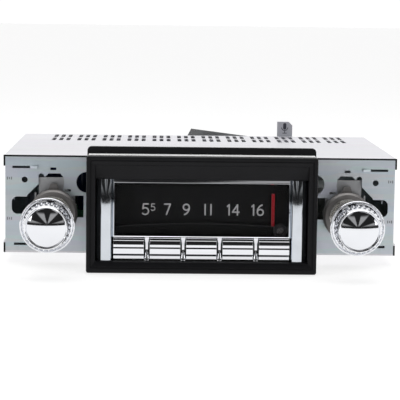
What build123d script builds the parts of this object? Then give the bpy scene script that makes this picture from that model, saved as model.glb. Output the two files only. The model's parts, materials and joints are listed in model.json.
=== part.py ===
"""Car radio in a vintage style, as an assembly of separate pieces.

Units are millimetres. X runs across the radio, Y runs from front to back and Z is up. While it is built, Y = 0 is
the front panel's face and Z = 0 is the bezel's lower edge; export() then moves every piece so that the origin is
the bottom centre of the whole radio's box.
"""

from build123d import *
import math
import os

os.makedirs("parts", exist_ok=True)

# Chassis
CHASSIS_WIDTH = 178.0
CHASSIS_DEPTH = 120.0
CHASSIS_BOTTOM = 4.4
CHASSIS_TOP = 48.8
COVER_SHEET = 0.8
FRAME_SHEET = 1.0
TOP_LIP = 5.0
BOTTOM_LIP = 5.3
FRAME_HALF = CHASSIS_WIDTH / 2 - COVER_SHEET
FRAME_LOW = CHASSIS_BOTTOM + COVER_SHEET
FRAME_HIGH = CHASSIS_TOP - COVER_SHEET

# Threaded holes in the side walls
SIDE_HOLES_Y = (34.0, 84.8)
SIDE_HOLES_Z = 26.0
SIDE_HOLE_RADIUS = 2.1

# Top cover vents
VENT_GROUPS = 12
VENTS_IN_GROUP = 3
VENT_PITCH = 3.57
VENT_GROUP_PITCH = 12.62
VENT_WIDTH = 2.0
VENT_LENGTH = 15.5
VENT_MIDDLE_X = 1.2
VENT_ROWS_Y = (90.0, 109.5)

# Main board
BOARD_LOW = 11.0
BOARD_HIGH = 12.6

# Controls, one on each side
SHAFT_X = 66.3
SHAFT_Z = 22.8
CAN_RADIUS = 10.8
CAN_FRONT = -6.6
CAN_BACK = -0.6
BUSHING_RADIUS = 4.7
BUSHING_FRONT = -18.6
SHAFT_RADIUS = 3.0
RUNNING_FIT = 0.08
KNOB_LIP_Y = -45.0
KNOB_FACE_Y = -53.0
KNOB_LIP_RADIUS = 11.85
KNOB_FACE_RADIUS = 9.05

# Bezel, chrome surround and dial
BEZEL_HALF = 50.45
BEZEL_HIGH = 51.35
BEZEL_FRONT = -30.0
BEZEL_BACK = -18.4
FLANGE_SHEET = 2.0
FLANGE_HIGH = 54.6
OPENING_HALF = 46.5
OPENING_LOW = 5.1
OPENING_HIGH = 47.4
BEVEL_LOW = 41.0
SURROUND_HALF = 46.1
SURROUND_FRONT = -27.5
WINDOW_HALF = 38.2
WINDOW_LOW = 16.05
WINDOW_HIGH = 39.1
BUTTON_COUNT = 5
BUTTON_PITCH = 15.95
BUTTON_WIDTH = 13.4
BUTTON_LOW = 5.9
BUTTON_HIGH = 15.35
BUTTON_GAP = 0.25
BUTTON_BACK = -21.0
STEM_Z = 10.5
NOSE_HALF = 44.0
NOSE_LOW = 6.4
NOSE_HIGH = 45.9
NOSE_WALL = 2.0
DIAL_FRONT = -14.0
MASK_LOW = 14.2
MASK_SIDE = 19.0
MASK_MIDDLE = 20.8
NUMERAL_Z = 26.5
NUMERAL_HALF = 2.6
NUMERAL_STROKE = 0.6
NUMERAL_RELIEF = 0.25
EYE_X = 35.1
EYE_Z = 17.7
NEEDLE_X = 31.9
NEEDLE_TOP = 34.0
RAIL_Y = -11.0
RAIL_Z = 15.2
PULLEY_X = 36.5
PULLEY_Z = 21.5
PULLEY_RADIUS = 3.6
PULLEY_FLANGE = 4.5
LOOP_RADIUS = 4.1
CORD_RADIUS = 0.25

# Rear
REAR_FACE = CHASSIS_DEPTH
STUD_X = 36.0
STUD_Z = 40.1
STUD_RADIUS = 3.0
STRAP_Y = 134.0
STRAP_SHEET = 2.0
STRAP_WIDTH = 13.0
STRAP_REACH = 44.0
STRAP_CUT = 5.0
STRAP_HOLE = 32.5
STRAP_HOLE_RADIUS = 3.2
STRAP_TILT = -7.0
STUD_BACK = 144.0
AERIAL_X = 70.0
AERIAL_Z = 24.0
SCREW_PLACES = ((-60, 44.9), (4, 44.9), (60, 44.9), (-30, 8.4), (60, 8.4))
FLAG_X = 47.3
FLAG_TOP = 56.1
FLAG_Y = 126.4
MIC_Z = 34.0

# Whole radio's box in Y, for the origin
BOX_FRONT = KNOB_FACE_Y - 1.5
ORIGIN_Y = (BOX_FRONT + STUD_BACK) / 2


def block(x, y, z):
    """A box from three (low, high) pairs."""
    centre = [(low + high) / 2 for low, high in (x, y, z)]
    return Pos(*centre) * Box(x[1] - x[0], y[1] - y[0], z[1] - z[0])


def rod(x, z, radius, y_from, y_to):
    """A round bar along Y."""
    return Pos(x, (y_from + y_to) / 2, z) * Rot(90, 0, 0) * Cylinder(radius, abs(y_to - y_from))


def plate(face, y_from, y_to):
    """Extrudes a face drawn in X and Z from one Y to another."""
    return extrude(Plane.XZ.offset(-y_from) * face, amount=y_from - y_to)


def polygon(points):
    """A face from a list of its corners."""
    return make_face(Polyline(*points, close=True))


def turned(x, z, profile):
    """Turns an outline of (radius, y) points about the axis along Y through x and z."""
    face = make_face(Polyline(*[(radius, y) for radius, y in profile], close=True))
    return Pos(x, 0, z) * revolve(face, axis=Axis.Y)


def export(shape, node):
    """Moves a piece to the part's own origin and writes it."""
    solids = shape.solids() if not isinstance(shape, list) else [s for p in shape for s in p.solids()]
    moved = [Pos(0, -ORIGIN_Y, 0) * solid for solid in solids]
    export_step(moved[0] if len(moved) == 1 else Compound(children=moved), f"parts/{node}.step")


def both_sides(face):
    """A face drawn on the right, with its mirror image on the left."""
    return [face, mirror(face, about=Plane.YZ)]


# Chassis ------------------------------------------------------------------------------------------------------


def front_panel_cut_outs():
    """The stamped openings beside the bezel, drawn on the right side."""
    clamp_opening = polygon(
        [
            (63.2, 29.0), (78.4, 29.0), (78.4, 30.5), (73.2, 35.7), (73.2, 39.3), (70.2, 39.0),
            (68.7, 40.5), (63.4, 40.5), (61.9, 38.6), (61.9, 34.6),
        ]
    )
    cam = Pos(65.9, 36.3) * Circle(4.2)
    hump = Pos(72.0, 39.25) * Circle(1.25)
    slot = Pos(69.1, 25.95) * RectangleRounded(32.4, 7.9, 2.6)
    slot_inner = Pos(55.5, 25.55) * Rectangle(5.2, 9.9)
    return [
        clamp_opening,
        cam,
        hump,
        slot,
        slot_inner,
        Pos(81.0, 43.3) * Rectangle(8.0, 1.05),
        Pos(66.6, 42.6) * Rectangle(2.7, 1.2),
        Pos(79.5, 37.6) * Circle(1.35),
        Pos(51.5, 36.6) * Circle(4.7),
        Pos(60.0, 32.8) * Rectangle(2.8, 1.1),
        Pos(80.3, 8.3) * Rectangle(8.0, 1.1),
    ]


def chassis_frame():
    """Front panel with both side walls folded back from it, and a bent tongue at each top slot."""
    inner = FRAME_HALF - FRAME_SHEET
    frame = block((-FRAME_HALF, FRAME_HALF), (0, REAR_FACE - FRAME_SHEET), (FRAME_LOW, FRAME_HIGH))
    frame -= block((-inner, inner), (FRAME_SHEET, REAR_FACE), (0, BEZEL_HIGH))
    frame -= block((-NOSE_HALF - 0.2, NOSE_HALF + 0.2), (-1, 2), (NOSE_LOW - 0.2, NOSE_HIGH + 0.2))
    for face in front_panel_cut_outs():
        for drawn in both_sides(face):
            frame -= plate(drawn, -1, FRAME_SHEET + 0.5)
    for side in (-1, 1):
        tongue = block((-1.9, 1.9), (-0.35, 0.35), (-0.55, 0.55))
        frame += Pos(side * 75.2, -0.5, 43.3) * Rot(0, 0, side * 24) * tongue
        for y in SIDE_HOLES_Y:
            frame -= Pos(side * FRAME_HALF, y, SIDE_HOLES_Z) * Rot(0, 90, 0) * Cylinder(SIDE_HOLE_RADIUS, 6)
    return frame


def vents():
    """Both rows of vent slots as one drawing in X and Y."""
    places = []
    for y in VENT_ROWS_Y:
        for group in range(VENT_GROUPS):
            for vent in range(VENTS_IN_GROUP):
                middle = VENT_MIDDLE_X + (group - (VENT_GROUPS - 1) / 2) * VENT_GROUP_PITCH
                places.append((middle + (vent - (VENTS_IN_GROUP - 1) / 2) * VENT_PITCH, y))
    return Locations(*places), Rot(0, 0, 90) * SlotOverall(VENT_LENGTH, VENT_WIDTH)


def cover(low, high, lip, up):
    """A flat sheet with a lip along each side, turned down, or up where up is true."""
    half = CHASSIS_WIDTH / 2
    outer = block((-half, half), (0, CHASSIS_DEPTH), (low, high))
    edge = high if not up else low
    folds = outer.edges().filter_by(Axis.Y).sort_by(Axis.Z)
    outer = fillet(folds[-2:] if not up else folds[:2], 0.7)
    inside = (edge - lip - 1, edge - COVER_SHEET) if not up else (edge + COVER_SHEET, edge + lip + 1)
    return outer - block((-FRAME_HALF, FRAME_HALF), (-1, CHASSIS_DEPTH + 1), inside)


def top_cover():
    sheet = cover(CHASSIS_TOP - TOP_LIP, CHASSIS_TOP, TOP_LIP, False)
    slots, slot = vents()
    cut = [place * slot for place in slots]
    sheet -= Pos(0, 0, CHASSIS_TOP - 2) * extrude(Sketch() + cut, amount=4)
    for side in (-1, 1):
        sheet -= Pos(side * 89.3, 73, CHASSIS_TOP) * Box(2.0, 3.0, 3.0)
    return sheet


def rear_panel():
    panel = block((-FRAME_HALF, FRAME_HALF), (REAR_FACE - FRAME_SHEET, REAR_FACE), (FRAME_LOW, FRAME_HIGH))
    for x, z, radius in ((STUD_X, STUD_Z, 3.1), (FLAG_X, MIC_Z, 3.1), (AERIAL_X, AERIAL_Z, 5.1)):
        panel -= rod(x, z, radius, REAR_FACE - 3, REAR_FACE + 3)
    for x, z in SCREW_PLACES:
        panel -= rod(x, z, 1.3, REAR_FACE - 3, REAR_FACE + 3)
    return panel


def screw(x, z, y, head_radius=2.6, thread_radius=1.25, length=5.0):
    """A pan-head screw driven forwards into a face at y, with a cross slot."""
    head = rod(x, z, head_radius, y, y + 1.7)
    head = fillet(head.edges().sort_by(Axis.Y)[-1:], 0.8)
    slots = block((x - 0.35, x + 0.35), (y + 0.7, y + 3), (z - 1.6, z + 1.6))
    slots += block((x - 1.6, x + 1.6), (y + 0.7, y + 3), (z - 0.35, z + 0.35))
    return head + rod(x, z, thread_radius, y - length, y) - slots


def export_chassis():
    export(chassis_frame(), "chassis_frame")
    export(top_cover(), "top_cover")
    export(cover(CHASSIS_BOTTOM, CHASSIS_BOTTOM + BOTTOM_LIP, BOTTOM_LIP, True), "bottom_cover")
    export(rear_panel(), "rear_panel")
    export([screw(x, z, REAR_FACE) for x, z in SCREW_PLACES], "cover_screws")


# Inside -------------------------------------------------------------------------------------------------------

def export_inside():
    board = block((-80, 80), (16, 112), (BOARD_LOW, BOARD_HIGH))
    posts = [(x, y) for x in (-74, 74) for y in (22, 106)]
    for x, y in posts:
        board -= Pos(x, y, BOARD_LOW) * Cylinder(1.6, 8)
    export(board, "main_board")
    standoffs = []
    for x, y in posts:
        spacer = Pos(x, y, (FRAME_LOW + BOARD_LOW) / 2) * Cylinder(2.8, BOARD_LOW - FRAME_LOW)
        stud = Pos(x, y, BOARD_LOW) * Cylinder(1.5, 5.0)
        standoffs.append(spacer + stud)
    export(standoffs, "board_standoffs")
    export(block((-70, -44), (114.2, 119), (13, 33)), "amplifier_chip")
    export(block((40, 74), (66, 100), (BOARD_HIGH, 28)), "tuner_can")
    places = [(-70, 96), (-54, 96), (-38, 96), (-22, 96), (-6, 100)]
    cans = [Pos(x, y, BOARD_HIGH + 11) * Cylinder(6.3, 22) for x, y in places]
    export([fillet(can.edges().sort_by(Axis.Z)[-1:], 1.0) for can in cans], "capacitors")


# Rear ---------------------------------------------------------------------------------------------------------


def heat_sink():
    """A plate on the rear panel with a row of upright fins."""
    sink = block((-86, -34), (REAR_FACE, REAR_FACE + 3), (12, 42))
    for fin in range(11):
        x = -85.25 + fin * 5.05
        sink += block((x - 0.75, x + 0.75), (REAR_FACE + 3, REAR_FACE + 11), (12, 42))
    return sink


def socket_shell(x, z, wall, length):
    """An open-fronted box along Y on the rear panel, with walls of one thickness."""
    shell = block(x, (REAR_FACE, REAR_FACE + length), z)
    hollow = block(
        (x[0] + wall, x[1] - wall), (REAR_FACE + wall, REAR_FACE + length + 1), (z[0] + wall, z[1] - wall)
    )
    return shell - hollow


def phono_socket(x, z):
    barrel = rod(x, z, 4.1, REAR_FACE + 2, REAR_FACE + 11) - rod(x, z, 3.3, REAR_FACE + 4, REAR_FACE + 12)
    return barrel + (rod(x, z, 2.6, REAR_FACE + 2, REAR_FACE + 10.5) - rod(x, z, 1.6, REAR_FACE + 4, REAR_FACE + 12))


def mic_flag():
    """An upright label tag with one clipped corner, on a ring round the microphone socket's neck."""
    half = 4.0
    outline = polygon(
        [
            (FLAG_X - half, MIC_Z + 1), (FLAG_X + half, MIC_Z + 1), (FLAG_X + half, FLAG_TOP - 1.9),
            (FLAG_X + half - 1.9, FLAG_TOP), (FLAG_X - half, FLAG_TOP),
        ]
    )
    tag = plate(outline, FLAG_Y, FLAG_Y + 0.6)
    tag += rod(FLAG_X, MIC_Z, 5.2, FLAG_Y, FLAG_Y + 0.6)
    return tag - rod(FLAG_X, MIC_Z, 4.05, FLAG_Y - 1, FLAG_Y + 2)


def hexagon_nut(x, z, flats, bore, y_from, y_to):
    face = Pos(x, z) * RegularPolygon(flats / 2, 6, major_radius=False) - Pos(x, z) * Circle(bore)
    return plate(face, y_from, y_to)


def support_strap():
    """A flat steel strap, cut off at a slant at its far end, tilted about the stud."""
    half = STRAP_WIDTH / 2
    outline = polygon([(0, -half), (0, half), (STRAP_CUT - STRAP_REACH, half), (-STRAP_REACH, -half)])
    face = outline + Circle(half) - Circle(STUD_RADIUS + 0.1) - Pos(-STRAP_HOLE, 0) * Circle(STRAP_HOLE_RADIUS)
    return Pos(STUD_X, 0, STUD_Z) * Rot(0, -STRAP_TILT, 0) * plate(face, STRAP_Y, STRAP_Y + STRAP_SHEET)


def export_rear():
    export(heat_sink(), "heat_sink")
    export(socket_shell((-28, -6), (12, 24), 1.5, 10), "power_socket")
    body = block((-26, -8), (REAR_FACE, REAR_FACE + 5), (29, 37))
    export(body + block((-24, -10), (REAR_FACE + 5, REAR_FACE + 9), (30.5, 35.5)), "fuse")
    export(socket_shell((34, 50), (10, 19), 1.2, 11), "usb_socket")
    places = [(x, z) for x in (2, 13, 24) for z in (14, 26)]
    base = block((-4, 30), (REAR_FACE, REAR_FACE + 2), (7.5, 32))
    export(base + [phono_socket(x, z) for x, z in places], "line_sockets")
    aerial = rod(AERIAL_X, AERIAL_Z, 7.5, REAR_FACE, REAR_FACE + 1.5)
    aerial += rod(AERIAL_X, AERIAL_Z, 6.0, REAR_FACE, REAR_FACE + 11)
    aerial += rod(AERIAL_X, AERIAL_Z, 5.0, REAR_FACE - 6, REAR_FACE)
    export(aerial - rod(AERIAL_X, AERIAL_Z, 4.2, REAR_FACE - 4, REAR_FACE + 12), "aerial_socket")
    mic = rod(FLAG_X, MIC_Z, 3.0, REAR_FACE - 8, REAR_FACE)
    mic += rod(FLAG_X, MIC_Z, 6.0, REAR_FACE, FLAG_Y)
    mic += rod(FLAG_X, MIC_Z, 4.0, FLAG_Y, FLAG_Y + 5)
    export(mic - rod(FLAG_X, MIC_Z, 1.8, REAR_FACE - 6, FLAG_Y + 6), "mic_socket")
    export(mic_flag(), "mic_flag")
    stud = rod(STUD_X, STUD_Z, STUD_RADIUS, REAR_FACE - 1, STUD_BACK)
    stud += rod(STUD_X, STUD_Z, 5.5, REAR_FACE, STRAP_Y - 0.05)
    stud += rod(STUD_X, STUD_Z, 5.0, REAR_FACE - 3.5, REAR_FACE - 1)
    export(stud, "rear_stud")
    export(support_strap(), "support_strap")
    nut_front = STRAP_Y + STRAP_SHEET + 0.05
    export(hexagon_nut(STUD_X, STUD_Z, 10.0, STUD_RADIUS + 0.02, nut_front, nut_front + 4.5), "strap_nut")


# Controls -----------------------------------------------------------------------------------------------------


def bracket(x):
    """The sliding plate behind the front panel that carries one control, with a slim finger at its outer side."""
    side = 1 if x > 0 else -1
    outline = [(-4.6, 38.6), (6.7, 38.6), (6.9, 34.6), (6.9, 24.0), (8.1, 24.0), (8.1, 31.6), (8.8, 31.6)]
    outline += [(8.8, 13.0), (-9.5, 13.0), (-9.5, 31.0), (-4.6, 33.4)]
    return plate(polygon([(x + side * across, z) for across, z in outline]), 1.5, 2.9)


def control(x):
    """A round control with a locating lug, a clamping neck through the panel and a threaded bushing."""
    thread_pitch = 0.9
    thread_depth = 0.4
    outline = [(0, CAN_BACK), (CAN_RADIUS - 0.6, CAN_BACK), (CAN_RADIUS, CAN_BACK - 0.6)]
    outline += [(CAN_RADIUS, CAN_FRONT + 0.8), (CAN_RADIUS - 0.8, CAN_FRONT), (BUSHING_RADIUS, CAN_FRONT)]
    turns = int((CAN_FRONT - BUSHING_FRONT) / thread_pitch)
    for turn in range(turns):
        y = CAN_FRONT - turn * thread_pitch
        outline += [(BUSHING_RADIUS - thread_depth, y - thread_pitch / 2), (BUSHING_RADIUS, y - thread_pitch)]
    outline += [(0, CAN_FRONT - turns * thread_pitch)]
    body = turned(x, SHAFT_Z, outline)
    lug = polygon([(x - 2.75, 32.4), (x + 2.75, 32.4), (x + 1.45, 36.0), (x - 1.45, 36.0)])
    body += plate(lug, -2.4, -0.9)
    body += block((x - 5, x + 5), (CAN_BACK - 1, 1.5), (22.6, 29.3))
    return body - rod(x, SHAFT_Z, SHAFT_RADIUS + RUNNING_FIT, CAN_FRONT + 2.5, BUSHING_FRONT - 1)


def dash_nut(x):
    """The washer and nut that clamp the bushing to a dashboard, screwed home on the can."""
    bore = BUSHING_RADIUS + 0.03
    washer = plate(Pos(x, SHAFT_Z) * Circle(8.2) - Pos(x, SHAFT_Z) * Circle(bore), CAN_FRONT - 1.2, CAN_FRONT)
    return [washer, hexagon_nut(x, SHAFT_Z, 14.0, bore, CAN_FRONT - 4.4, CAN_FRONT - 1.2)]


def knob(x):
    """Skirt with a thin lip, a band for the beads and a slightly domed face."""
    profile = [
        (SHAFT_RADIUS + 0.02, -37.0), (10.4, -37.0), (10.9, KNOB_LIP_Y + 1.4), (KNOB_LIP_RADIUS, KNOB_LIP_Y + 0.9),
        (KNOB_LIP_RADIUS, KNOB_LIP_Y - 0.1), (KNOB_LIP_RADIUS - 0.7, KNOB_LIP_Y - 0.4), (10.7, KNOB_LIP_Y + 0.9),
        (10.0, KNOB_LIP_Y + 0.9), (9.9, KNOB_FACE_Y + 2.2), (KNOB_FACE_RADIUS, KNOB_FACE_Y + 1.0),
        (KNOB_FACE_RADIUS, KNOB_FACE_Y + 0.2), (KNOB_FACE_RADIUS - 0.5, KNOB_FACE_Y),
    ]
    rim = (KNOB_FACE_RADIUS - 0.5, KNOB_FACE_Y)
    pole = (0, BOX_FRONT)
    rise = KNOB_FACE_Y - BOX_FRONT
    sphere = (rim[0] ** 2 + rise**2) / (2 * rise)
    half = rim[0] / 2
    middle = (half, BOX_FRONT + sphere - math.sqrt(sphere**2 - half**2))
    end = (0, KNOB_FACE_Y + 3.5)
    seat = (SHAFT_RADIUS + 0.02, KNOB_FACE_Y + 3.5)
    line = Polyline(*profile) + ThreePointArc(rim, middle, pole) + Polyline(pole, end, seat, profile[0])
    return Pos(x, 0, SHAFT_Z) * revolve(make_face(line), axis=Axis.Y)


def export_controls():
    for name, x in (("left", -SHAFT_X), ("right", SHAFT_X)):
        export(bracket(x), f"{name}_bracket")
        export(control(x), f"{name}_control")
        export(dash_nut(x), f"{name}_dash_nut")
        export(rod(x, SHAFT_Z, SHAFT_RADIUS, CAN_FRONT + 2.0, KNOB_FACE_Y + 3.6), f"{name}_shaft")
        export(knob(x), f"{name}_knob")


# Bezel, dial and buttons --------------------------------------------------------------------------------------


def bezel():
    """The black frame with a sloping bevel over the window."""
    frame = block((-BEZEL_HALF, BEZEL_HALF), (BEZEL_FRONT, BEZEL_BACK), (0, BEZEL_HIGH))
    frame = fillet(frame.edges().filter_by(Axis.Y), 0.9)
    frame = chamfer(frame.faces().sort_by(Axis.Y)[0].edges(), 0.5)
    frame -= block((-OPENING_HALF, OPENING_HALF), (BEZEL_FRONT - 1, BEZEL_BACK + 1), (OPENING_LOW, OPENING_HIGH))
    slope = [(BEZEL_FRONT + 0.8, OPENING_HIGH), (BEZEL_FRONT + 4.5, BEVEL_LOW), (BEZEL_BACK, BEVEL_LOW)]
    slope += [(BEZEL_BACK, OPENING_HIGH)]
    wedge = extrude(Plane.YZ.offset(-OPENING_HALF) * polygon(slope), amount=2 * OPENING_HALF)
    return frame + wedge


def bezel_flange():
    """The black plate behind the bezel that stands above it."""
    low = 1.0
    sheet = block((-BEZEL_HALF, BEZEL_HALF), (BEZEL_BACK, BEZEL_BACK + FLANGE_SHEET), (low, FLANGE_HIGH))
    sheet = fillet(sheet.edges().filter_by(Axis.Y), 1.8)
    hole = block((-NOSE_HALF, NOSE_HALF), (BEZEL_BACK - 1, 0), (NOSE_LOW, NOSE_HIGH))
    return sheet - hole


def nose_housing():
    """The box that carries the dial in front of the chassis, with a flange behind the panel."""
    tube = block((-NOSE_HALF, NOSE_HALF), (BEZEL_BACK, 12), (NOSE_LOW, NOSE_HIGH))
    tube += block((-NOSE_HALF - 2.3, NOSE_HALF + 2.3), (FRAME_SHEET, 2.6), (FRAME_LOW + 0.1, FRAME_HIGH - 0.4))
    inner = NOSE_HALF - NOSE_WALL
    return tube - block((-inner, inner), (BEZEL_BACK - 1, 13), (NOSE_LOW + NOSE_WALL, NOSE_HIGH - NOSE_WALL))


def chrome_surround():
    """The chrome frame round the window and the buttons, with the dividers between the buttons."""
    frame = block((-SURROUND_HALF, SURROUND_HALF), (SURROUND_FRONT + 1.0, BEZEL_BACK), (OPENING_LOW, BEVEL_LOW))
    ridge = Pos(0, (WINDOW_LOW + WINDOW_HIGH) / 2) * Rectangle(2 * WINDOW_HALF + 2, WINDOW_HIGH - WINDOW_LOW + 2)
    frame += plate(ridge, SURROUND_FRONT, SURROUND_FRONT + 2)
    frame -= block((-WINDOW_HALF, WINDOW_HALF), (SURROUND_FRONT - 1, 0), (WINDOW_LOW, WINDOW_HIGH))
    reach = (BUTTON_COUNT - 1) / 2 * BUTTON_PITCH + BUTTON_WIDTH / 2 + BUTTON_GAP
    frame -= block(
        (-reach, reach), (SURROUND_FRONT - 1, 0), (BUTTON_LOW - BUTTON_GAP, BUTTON_HIGH + BUTTON_GAP)
    )
    half = (BUTTON_PITCH - BUTTON_WIDTH) / 2 - BUTTON_GAP
    for gap in range(BUTTON_COUNT - 1):
        x = (gap - (BUTTON_COUNT - 2) / 2) * BUTTON_PITCH
        frame += block(
            (x - half, x + half), (SURROUND_FRONT, BUTTON_BACK - 0.5), (BUTTON_LOW - 0.4, BUTTON_HIGH + 0.4)
        )
    return frame


def button(x):
    """A chrome key with a sloped upper half, a ridge and a flat lower face, on a round stem."""
    profile = [
        (BUTTON_BACK, BUTTON_LOW), (-25.6, BUTTON_LOW), (-26.7, 7.4), (-26.9, 11.2), (-27.6, 11.6), (-27.6, 12.2),
        (-26.6, 12.6), (-24.8, BUTTON_HIGH), (BUTTON_BACK, BUTTON_HIGH),
    ]
    key = extrude(Plane.YZ.offset(x - BUTTON_WIDTH / 2) * polygon(profile), amount=BUTTON_WIDTH)
    return key + rod(x, STEM_Z, 1.5, BUTTON_BACK - 1, -8.5)


def dial_mask():
    """The dark lower screen of the dial: its top edge arches up to the middle, with a boss for the eye."""
    half = WINDOW_HALF + 2
    arch = ThreePointArc((half, MASK_SIDE), (0, MASK_MIDDLE), (-half, MASK_SIDE))
    ends = Polyline((-half, MASK_SIDE), (-half, MASK_LOW), (half, MASK_LOW), (half, MASK_SIDE))
    face = make_face(arch + ends) + Pos(EYE_X, EYE_Z) * Circle(3.3)
    return plate(face, BEZEL_BACK + 0.4, BEZEL_BACK + 1.2)


def stroke(start, end):
    """A straight stroke with round ends."""
    middle = ((start[0] + end[0]) / 2, (start[1] + end[1]) / 2)
    run = Vector(end[0] - start[0], end[1] - start[1])
    turn = math.degrees(math.atan2(run.Y, run.X))
    return Pos(*middle) * Rot(0, 0, turn) * SlotCenterToCenter(run.length, NUMERAL_STROKE)


def bend(start, middle, end):
    """A curved stroke with round ends."""
    return SlotArc(ThreePointArc(start, middle, end), NUMERAL_STROKE)


def ring(radius, centre):
    outer = Circle(radius + NUMERAL_STROKE / 2) - Circle(radius - NUMERAL_STROKE / 2)
    return Pos(*centre) * outer


def digits():
    """Each digit as a few strokes about its own middle."""
    high = NUMERAL_HALF - NUMERAL_STROKE / 2
    bowl = 1.3
    five = stroke((1.1, high), (-0.9, high)) + stroke((-0.9, high), (-1.15, 0.2))
    five += bend((-1.15, 0.2), (1.3, -0.7), (-1.3, -1.9))
    six = ring(bowl, (0, bowl - high)) + bend((-bowl, bowl - high), (-0.75, 1.1), (0.75, high))
    four = stroke((0.8, -high), (0.8, high)) + stroke((0.8, high), (-1.4, -1.0))
    four += stroke((-1.4, -1.0), (1.5, -1.0))
    return {
        "1": stroke((0.3, -high), (0.3, high)) + stroke((0.3, high), (-0.5, 1.5)),
        "I": stroke((0, -high), (0, high)),
        "4": four,
        "5": five,
        "6": six,
        "7": stroke((-1.2, high), (1.3, high)) + stroke((1.3, high), (-0.4, -high)),
        "9": Rot(0, 0, 180) * six,
    }


def numerals():
    """The dial's numbers, standing a little proud of the plate; the raised 5 is drawn smaller."""
    row = [("5", -24.7), ("7", -15.0), ("9", -6.6), ("I", 1.8), ("I", 4.4)]
    row += [("1", 12.2), ("4", 15.4), ("1", 23.1), ("6", 26.4)]
    shapes = digits()
    made = [Pos(x, NUMERAL_Z) * shapes[name] for name, x in row]
    made.append(Pos(-21.4, NUMERAL_Z + 0.9) * scale(shapes["5"], by=0.62))
    return [plate(face, DIAL_FRONT - NUMERAL_RELIEF, DIAL_FRONT) for drawn in made for face in drawn.faces()]


def dial_cord():
    """The drive loop round both pulleys, a thin round cord."""
    low = PULLEY_Z - LOOP_RADIUS
    high = PULLEY_Z + LOOP_RADIUS
    path = Line((-PULLEY_X, low), (PULLEY_X, low))
    path += ThreePointArc((PULLEY_X, low), (PULLEY_X + LOOP_RADIUS, PULLEY_Z), (PULLEY_X, high))
    path += Line((PULLEY_X, high), (-PULLEY_X, high))
    path += ThreePointArc((-PULLEY_X, high), (-PULLEY_X - LOOP_RADIUS, PULLEY_Z), (-PULLEY_X, low))
    face = make_face(path)
    outer = offset(face, CORD_RADIUS)
    inner = offset(face, -CORD_RADIUS)
    return plate(outer - inner, RAIL_Y - CORD_RADIUS, RAIL_Y + CORD_RADIUS)


def pulley(x):
    """A small grooved wheel on a pin."""
    rim = PULLEY_FLANGE
    groove = PULLEY_RADIUS
    outline = [(0, RAIL_Y - 1.5), (rim, RAIL_Y - 1.5), (rim, RAIL_Y - 1.0), (groove, RAIL_Y - 0.6)]
    outline += [(groove, RAIL_Y + 0.6), (rim, RAIL_Y + 1.0), (rim, RAIL_Y + 1.5), (1.0, RAIL_Y + 1.5)]
    outline += [(1.0, RAIL_Y + 3.0), (0, RAIL_Y + 3.0)]
    return turned(x, PULLEY_Z, outline)


def export_front():
    export(bezel(), "bezel")
    export(bezel_flange(), "bezel_flange")
    export(nose_housing(), "nose_housing")
    export(chrome_surround(), "chrome_surround")
    export(block((-WINDOW_HALF, WINDOW_HALF), (-23.2, -22.0), (WINDOW_LOW, WINDOW_HIGH)), "dial_lens")
    inner = NOSE_HALF - NOSE_WALL
    top = NOSE_HIGH - NOSE_WALL
    export(block((-inner, inner), (DIAL_FRONT, DIAL_FRONT + 0.8), (18.2, top)), "dial_plate")
    export(numerals(), "dial_numerals")
    mask = dial_mask() - rod(EYE_X, EYE_Z, 1.5, BEZEL_BACK - 2, 0)
    export(mask, "dial_mask")
    eye = rod(EYE_X, EYE_Z, 1.45, BEZEL_BACK + 0.1, BEZEL_BACK + 2.6)
    export(eye, "remote_eye")
    export(block((-inner + 0.5, inner - 0.5), (-4, -2.4), (8.6, top - 0.2)), "nose_board")
    keys = [(number - (BUTTON_COUNT - 1) / 2) * BUTTON_PITCH for number in range(BUTTON_COUNT)]
    switches = []
    for number, x in enumerate(keys, start=1):
        export(button(x), f"button_{number}")
        case = block((x - 4, x + 4), (-11.5, -4), (8.8, 13.0))
        switches.append(case - rod(x, STEM_Z, 1.58, -12.5, -5.6))
    export(switches, "button_switches")
    rail = Pos(0, RAIL_Y, RAIL_Z) * Rot(0, 90, 0) * Cylinder(0.8, 2 * inner)
    export(rail, "dial_rail")
    export(dial_cord(), "dial_cord")
    export(rod(-PULLEY_X, PULLEY_Z, 4.9, RAIL_Y + 3.2, -4), "dial_motor")
    export(pulley(-PULLEY_X), "drive_pulley")
    export(pulley(PULLEY_X), "idler_pulley")
    half = 0.65
    export(block((NEEDLE_X - half, NEEDLE_X + half), (-16.4, -15.6), (14.0, NEEDLE_TOP)), "needle")
    carriage = block((NEEDLE_X - 3, NEEDLE_X + 3), (-15.6, RAIL_Y + 1.5), (14.0, 16.5))
    carriage += block((NEEDLE_X - 1.0, NEEDLE_X + 1.0), (RAIL_Y - 1.2, RAIL_Y + 1.2), (16.5, 18.2))
    along = Pos(NEEDLE_X, RAIL_Y, 0) * Rot(0, 90, 0)
    bore = Pos(0, 0, RAIL_Z) * along * Cylinder(0.86, 10)
    grip = Pos(0, 0, PULLEY_Z - LOOP_RADIUS) * along * Cylinder(CORD_RADIUS + 0.15, 10)
    export(carriage - bore - grip, "needle_carriage")


export_chassis()
export_inside()
export_rear()
export_controls()
export_front()
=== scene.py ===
import json
import math

import bmesh
import bpy
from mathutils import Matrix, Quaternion, Vector


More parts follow.
